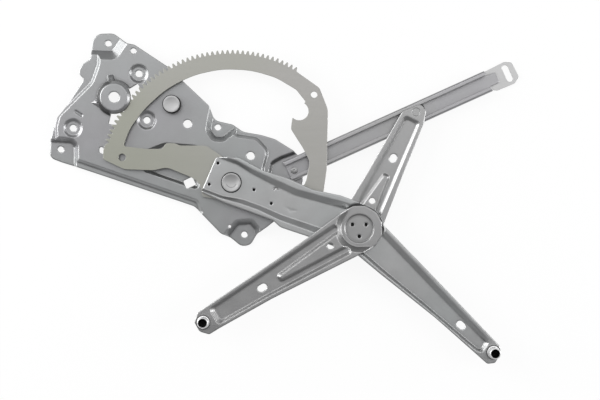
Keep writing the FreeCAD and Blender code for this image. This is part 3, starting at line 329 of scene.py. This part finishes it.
def fit(piece, body, node, finish):
    """The piece moves with its body, and takes the place of a CAD node where one is named."""
    piece.data.materials.append(finish.material)
    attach(piece, body)
    if node:
        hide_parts(node)


gusset_zinc = plated_steel("gusset_zinc", 0.42, (VIOLET, PLAIN), 2.0, bend=0.0005)
fit(gusset, "base", "", gusset_zinc)


# Guide rail: a roll-formed channel riveted to the plate's lower right corner. Its slotted end
# bracket is a flat piece of brighter sheet.
rail_zinc = plated_steel("rail_zinc", 0.47, (PLAIN, VIOLET), 3.1, bend=0.0009)
bracket_zinc = plated_steel("bracket_zinc", 0.66, (PLAIN, PLAIN), 4.7, bend=0.0006, roughness=0.46)
rivet_zinc = plated_steel("rivet_zinc", 0.45, (PLAIN, PLAIN), 5.9, bend=0.0004)
dress("guide_rail", rail_zinc)
dress("rail_bracket", bracket_zinc)
dress("rail_rivet", rivet_zinc)


# Stop stud: a turned stud riveted through the panel. Its flat head holds a ribbed ring of black
# rubber, on which the sector's notch comes to rest.
STOP_SPOT = (0.1217, 0.0484)
AXIS = 0.0001  # the radius at which a profile starts and ends, next to its axis
PANEL_BACK, PANEL_FRONT = 0.0080, 0.0098
HEAD_UNDER, HEAD_TOP = 0.0202, 0.0220


def turned(name, spot, profile):
    """A ring is drawn from corner to corner along the profile of (radius, height), then closed."""
    x, y = spot
    bpy.ops.object.select_all(action="DESELECT")
    radius, height = profile[0]
    bpy.ops.mesh.primitive_circle_add(vertices=72, radius=radius, location=(x, y, height))
    piece = bpy.context.object
    piece.name = name
    piece.data.name = name
    bpy.ops.object.transform_apply(location=True, rotation=True, scale=True)
    bpy.ops.object.mode_set(mode="EDIT")
    bpy.ops.mesh.select_all(action="SELECT")
    for next_radius, next_height in profile[1:]:
        rise = (0.0, 0.0, next_height - height)
        bpy.ops.mesh.extrude_edges_move(TRANSFORM_OT_translate={"value": rise})
        growth = next_radius / radius
        bpy.ops.transform.resize(value=(growth, growth, 1.0), center_override=(x, y, next_height))
        radius, height = next_radius, next_height
    bpy.ops.mesh.select_all(action="SELECT")
    bpy.ops.mesh.remove_doubles(threshold=0.000001)
    bpy.ops.mesh.select_all(action="DESELECT")
    bpy.ops.mesh.select_non_manifold()
    bpy.ops.mesh.fill_holes(sides=0)
    bpy.ops.mesh.select_all(action="SELECT")
    bpy.ops.mesh.normals_make_consistent(inside=False)
    bpy.ops.object.mode_set(mode="OBJECT")
    edge = piece.modifiers.new("edge", "BEVEL")
    edge.width = 0.00015
    edge.segments = 2
    edge.limit_method = "ANGLE"
    edge.angle_limit = math.radians(35.0)
    bpy.ops.object.modifier_apply(modifier="edge")
    bpy.ops.object.shade_smooth_by_angle(angle=math.radians(35.0))
    return piece


def turned_steel(name, spot, level, roughness, rim, bore=0.0, punch=0.0):
    """Turned and plated steel: lathe rings round the axis, painted shade in the bore and outside the
    rim.
    Where a punch's radius is given, the lower side of that circle is marked."""
    finish = Finish(name, metallic=0.92)
    reach = finish.reach(spot)
    outward = finish.node("ShaderNodeCombineXYZ", {}, {"X": reach})
    rings = finish.node("ShaderNodeTexNoise", {}, {"Vector": outward, "Scale": 2600.0, "Detail": 1.0})
    mottle = finish.noise(160.0, 3.0)
    face = finish.blend(0.5 * rings + 0.5 * mottle, grey(0.8 * level), grey(1.15 * level))
    if punch:
        near = (1.0 - abs(reach - punch) / 0.0005).clipped()
        down = spot[1] - finish.along("Y")
        mark = near * ((down - 0.25 * punch) / 0.0006).clipped()
        face = finish.blend(0.8 * mark, face, grey(0.05))
    # Painted shade: near black inside the bore and outside the rim.
    in_bore = ((bore - reach) / 0.0002).clipped()
    past_rim = ((reach - rim) / 0.0002).clipped()
    bore_and_rim_shade = in_bore.larger(past_rim)
    finish.feed("Base Color", finish.blend(bore_and_rim_shade, face, grey(0.03)))
    finish.feed("Roughness", roughness + 0.3 * bore_and_rim_shade + 0.08 * mottle)
    finish.relief(rings, 0.00004, strength=0.5)
    return finish


stud = turned("headed_stop_stud", STOP_SPOT,
              [(AXIS, 0.0064), (0.0066, 0.0064), (0.0072, 0.0070), (0.0072, PANEL_BACK),
               (0.0050, PANEL_BACK), (0.0050, HEAD_UNDER), (0.0095, HEAD_UNDER), (0.0095, 0.0216),
               (0.0091, HEAD_TOP), (0.0066, HEAD_TOP), (0.0064, 0.02193), (AXIS, 0.02193)])
# Painted shade: the head's edge outside the rim is near black.
stud_steel = turned_steel("stud_steel", STOP_SPOT, 0.5, 0.44, rim=0.0088)
fit(stud, "base", "stop_stud", stud_steel)

RIBS = [(0.0099, 0.0101), (0.0099, 0.0113), (0.0095, 0.0116), (0.0095, 0.0121), (0.0099, 0.0124),
        (0.0099, 0.0143), (0.0095, 0.0146), (0.0095, 0.0154), (0.0099, 0.0157), (0.0099, 0.0176),
        (0.0095, 0.0179), (0.0095, 0.0184), (0.0099, 0.0187), (0.0099, 0.0199)]
ring = turned("ribbed_buffer", STOP_SPOT,
              [(0.0051, PANEL_FRONT), (0.0096, PANEL_FRONT)] + RIBS
              + [(0.0096, HEAD_UNDER), (0.0051, HEAD_UNDER), (0.0051, PANEL_FRONT)])
rubber = Finish("rubber")
bloom = rubber.noise(240.0, 4.0)
rubber.feed("Base Color", rubber.blend(bloom, grey(0.012), grey(0.035)))
rubber.feed("Roughness", 0.5 + 0.2 * bloom)
rubber.relief(bloom, 0.00005)
fit(ring, "base", "stop_buffer", rubber)


# Sector gear: blanked from 3 mm steel plate and left oiled, so it is warmer than the zinc. The
# oil is thickest on the left. Four rivets hold it to the lift arm, with their ends pressed in
# below the surface.
BARE_STEEL, OIL = (1.0, 0.98, 0.95), (0.98, 1.0, 0.84)

oiled_plate = Finish("oiled_plate", metallic=0.88)
pool = oiled_plate.ramp(oiled_plate.noise(7.0, 2.0, shift=2.0), (0.35, 0.0), (0.65, 1.0))
film = (0.35 * pool + 0.9 - 3.2 * oiled_plate.along("X")).clipped()
rolling = oiled_plate.noise(260.0, 3.0, stretch=(0.12, 1.0, 1.0), turn=0.5)
speck = oiled_plate.noise(900.0, 2.0)
soft, bent = soft_edges(oiled_plate, 0.0005)
clean = oiled_plate.blend(0.6 * rolling + 0.4 * speck, grey(0.36, BARE_STEEL), grey(0.45, BARE_STEEL))
oiled = oiled_plate.blend(0.8 * film, clean, grey(0.36, OIL))
oiled_plate.feed("Base Color", oiled_plate.blend(0.5 * bent, oiled, grey(0.6)))
oiled_plate.feed("Roughness", 0.40 + 0.1 * rolling - 0.05 * film)
oiled_plate.relief(0.4 * rolling + 0.6 * speck, 0.00002, strength=0.6, bends=soft)
dress("sector_gear", oiled_plate)

# Painted shade: the rivets are made almost black for the shade in the hollows at their ends.
rivet_shade_black = plated_steel("rivet_shade_black", 0.01, (PLAIN, PLAIN), 1.0, bend=0.0003, roughness=0.5)
dress("sector_rivets", rivet_shade_black)


# Lift arm: a long pressing of 1.8 mm steel, lipped along both edges and zinc plated. Its far end
# carries a tubular stud, flanged above the sheet and peened over below it.
ARM_RIVETS = [(0.17166, -0.01532), (0.16220, -0.03806), (0.21039, -0.04383), (0.22899, -0.05860)]
LIFT_STUD_SPOT = (0.46755, -0.21834)
# Painted shade: the guide studs are near black outside STUD_RIM and inside STUD_BORE.
STUD_RIM, STUD_BORE = 0.0068, 0.0049

# The lift arm's rivet ends get painted shade in their hollows.
arm_zinc = plated_steel("arm_zinc", 0.53, (PLAIN, GREEN), 7.3, bend=0.0022, shaded_pits=ARM_RIVETS)
dress("lift_arm", arm_zinc)


def guide_stud(name, spot, pad_top, sheet):
    """A tube peened under the arm's pad, flanged on it, and grooved near its open top."""
    under = pad_top - sheet
    flange = pad_top + 0.0012
    floor = pad_top + 0.0015
    top = 0.04098
    return turned(name, spot,
                  [(AXIS, under - 0.0012), (0.0060, under - 0.0012), (0.0070, under - 0.0006),
                   (0.0070, under), (0.0046, under), (0.0046, pad_top), (0.0076, pad_top),
                   (0.0076, flange), (0.0059, flange), (0.0059, 0.0372), (0.0056, 0.0375),
                   (0.0056, 0.0384), (0.0059, 0.0387), (0.0059, 0.0404), (0.0054, top),
                   (0.0046, top), (0.0043, 0.0406), (0.0043, floor), (AXIS, floor)])


lift_stud = guide_stud("turned_lift_stud", LIFT_STUD_SPOT, 0.0230, 0.0018)
lift_stud_steel = turned_steel("lift_stud_steel", LIFT_STUD_SPOT, 0.85, 0.36, STUD_RIM, STUD_BORE)
fit(lift_stud, "lift_arm", "lift_arm_stud", lift_stud_steel)


# Main pivot: a flanged rivet headed over in the press, which leaves a ring on its head. A plastic
# bush turns on it, and a plastic washer keeps the sector off the plate's boss.
MAIN_PIVOT = (0.186, -0.036)

rivet = turned("headed_pivot_rivet", MAIN_PIVOT,
               [(AXIS, 0.0090), (0.0084, 0.0090), (0.0098, 0.0098), (0.0100, 0.0110),
                (0.0060, 0.0110), (0.0060, 0.0188), (0.0112, 0.0188), (0.0112, 0.0191),
                (0.0105, 0.0193), (0.0105, 0.0206), (0.0099, 0.0212), (0.0080, 0.0212),
                (0.0078, 0.02108), (AXIS, 0.02108)])
# Painted shade: the head's edge outside the rim is near black.
pivot_steel = turned_steel("pivot_steel", MAIN_PIVOT, 0.45, 0.42, rim=0.0100, punch=0.0054)
fit(rivet, "base", "main_pivot_rivet", pivot_steel)

plastic = Finish("black_plastic")
flow = plastic.noise(50.0, 3.0, stretch=(1.0, 3.0, 1.0))
plastic.feed("Base Color", plastic.blend(flow, grey(0.015), grey(0.04)))
plastic.feed("Roughness", 0.34 + 0.16 * flow)
plastic.relief(plastic.noise(900.0), 0.00002)
dress("main_pivot_bush", plastic)
dress("main_pivot_washer", plastic)


# Equalizer arm: two pressings of 1.6 mm steel, one each side of the lift arm, joined through its
# hub by three rivets whose ends sit in hollows in the front half's cup, painted near black as shade.
# The rear half carries the pin of the plastic shoe that runs in the rail.
EQUALIZER_STUD_SPOT = (0.15624, -0.18575)

equalizer_zinc = plated_steel("equalizer_zinc", 0.45, (PLAIN, PLAIN), 11.9, bend=0.0020)
dress("equalizer_front", equalizer_zinc)
dress("equalizer_rear", equalizer_zinc)
dress("cross_pivot_rivets", rivet_shade_black)
dress("cross_pivot_washer", plastic)
dress("slider_pin", rivet_zinc)
dress("rail_slider", plastic)

equalizer_stud = guide_stud("turned_equalizer_stud", EQUALIZER_STUD_SPOT, 0.0282, 0.0016)
equalizer_stud_steel = turned_steel("equalizer_stud_steel", EQUALIZER_STUD_SPOT, 0.85, 0.36,
                                    STUD_RIM, STUD_BORE)
fit(equalizer_stud, "equalizer", "equalizer_stud", equalizer_stud_steel)
